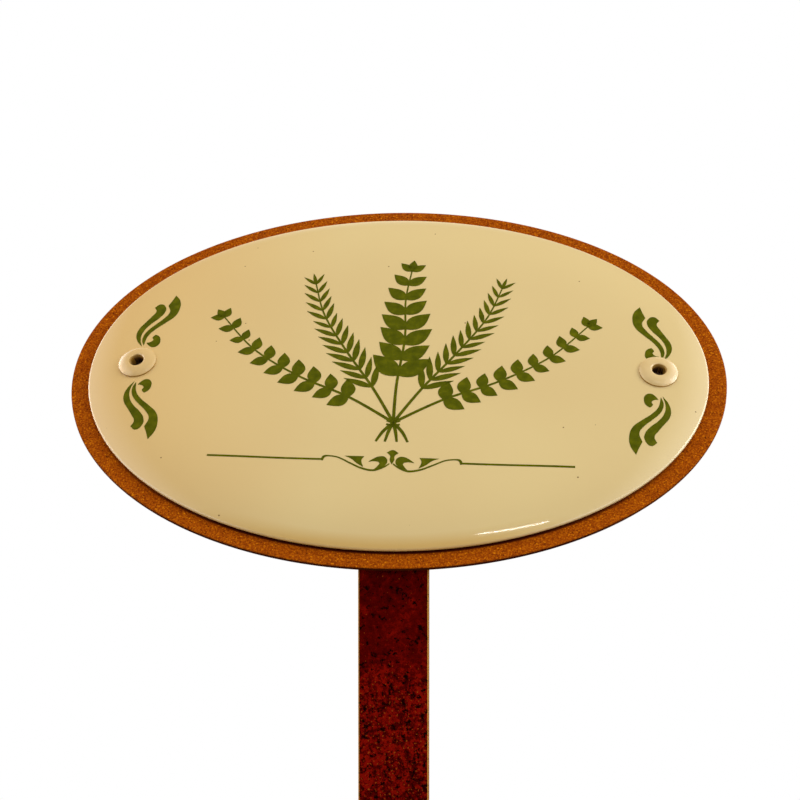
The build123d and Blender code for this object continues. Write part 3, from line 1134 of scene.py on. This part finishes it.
# %% [markdown]
# Behind everything the world is white to the camera. In reflections its ceiling is
# dim, as in a studio, so that the sign, which leans back and mirrors the ceiling,
# keeps the full depth of its colours. The walls are bright there, and brighter still
# like windows to the left and right, and they draw the white line along the sign's
# rim. The light that the room casts comes mostly from above.

# %% World
zenith_light = 1.27
horizon_light = 0.25
ceiling_strength = 0.05
wall_strength = 3.5
front_strength = 0.5
# Where the walls, the ceiling and the windows start and are full, as parts of a direction
front_until = -0.6
wall_full = 0.1
ceiling_from = 0.3
ceiling_full = 0.8
window_strength = 2.6
window_shift = 0.06
window_from = 0.39
window_full = 0.62
lit_full = 0.9
world = bpy.data.worlds.new("studio")
bpy.context.scene.world = world
world.use_nodes = True
sky = world.node_tree
sky.nodes.clear()
path = add(sky, "ShaderNodeLightPath").outputs
direction = add(sky, "ShaderNodeTexCoord").outputs["Generated"]
sideward, backward, upward = add(sky, "ShaderNodeSeparateXYZ", {0: direction}).outputs
walls = {
    "Value": backward, "From Min": front_until, "From Max": wall_full,
    "To Min": front_strength, "To Max": wall_strength,
}
walls = add(sky, "ShaderNodeMapRange", walls).outputs["Result"]
inside = {
    "Value": upward, "From Min": ceiling_from, "From Max": ceiling_full,
    "To Min": walls, "To Max": ceiling_strength,
}
inside = add(sky, "ShaderNodeMapRange", inside, interpolation_type="SMOOTHSTEP").outputs["Result"]
apart = add(sky, "ShaderNodeMath", {0: sideward, 1: window_shift}, operation="ADD").outputs[0]
apart = add(sky, "ShaderNodeMath", {0: apart}, operation="ABSOLUTE").outputs[0]
windows = where(sky, (apart, window_from, window_full))
reflected = {0: windows, 1: window_strength, 2: inside}
reflected = add(sky, "ShaderNodeMath", reflected, operation="MULTIPLY_ADD").outputs[0]
lit = {"Value": upward, "From Max": lit_full, "To Min": horizon_light, "To Max": zenith_light}
lit = add(sky, "ShaderNodeMapRange", lit).outputs["Result"]
shown = {0: path["Is Camera Ray"], 1: path["Is Transmission Ray"]}
shown = add(sky, "ShaderNodeMath", shown, operation="MAXIMUM").outputs[0]
cast = add(sky, "ShaderNodeMix", {0: path["Is Glossy Ray"], 2: lit, 3: reflected}).outputs[0]
strength = add(sky, "ShaderNodeMix", {0: shown, 2: cast, 3: 1.0}).outputs[0]
room = {"Color": linear("#FFFFFF"), "Strength": strength}
room = add(sky, "ShaderNodeBackground", room).outputs[0]
add(sky, "ShaderNodeOutputWorld", {"Surface": room})
print("world nodes:", len(sky.nodes))

# %% [markdown]
# A polished dome mirrors whatever stands where its slopes point, so the lamps
# are placed by what the sign shows. The middle mirrors only the plain ceiling.
# The soft lamp stands low to the right, where only the rounded rim catches it. A
# faint warm one glances over the left side, and a narrow one in front draws the
# thin white streak on the lower right border.

# %% Lamps
def lamp(name, place, size, watts, tint="#FFFFFF"):
    """A soft rectangular lamp that faces the sign's middle."""
    light = bpy.data.lights.new(name, "AREA")
    light.shape = "RECTANGLE"
    light.size, light.size_y = size
    light.energy = watts
    light.color = linear(tint)[:3]
    holder = bpy.data.objects.new(name, light)
    bpy.context.scene.collection.objects.link(holder)
    holder.location = plate_front + Vector(place)
    holder.rotation_euler = (-Vector(place)).to_track_quat("-Z", "Y").to_euler()


lamp("right_soft", (1.05, -0.15, 0.6), (0.6, 0.5), 5.5)
lamp("left_edge", (-0.45, 0.05, 0.2), (0.4, 0.12), 0.35, "#FFC890")
lamp("front_streak", (0.22, -0.818, 0.717), (0.18, 0.012), 0.25)
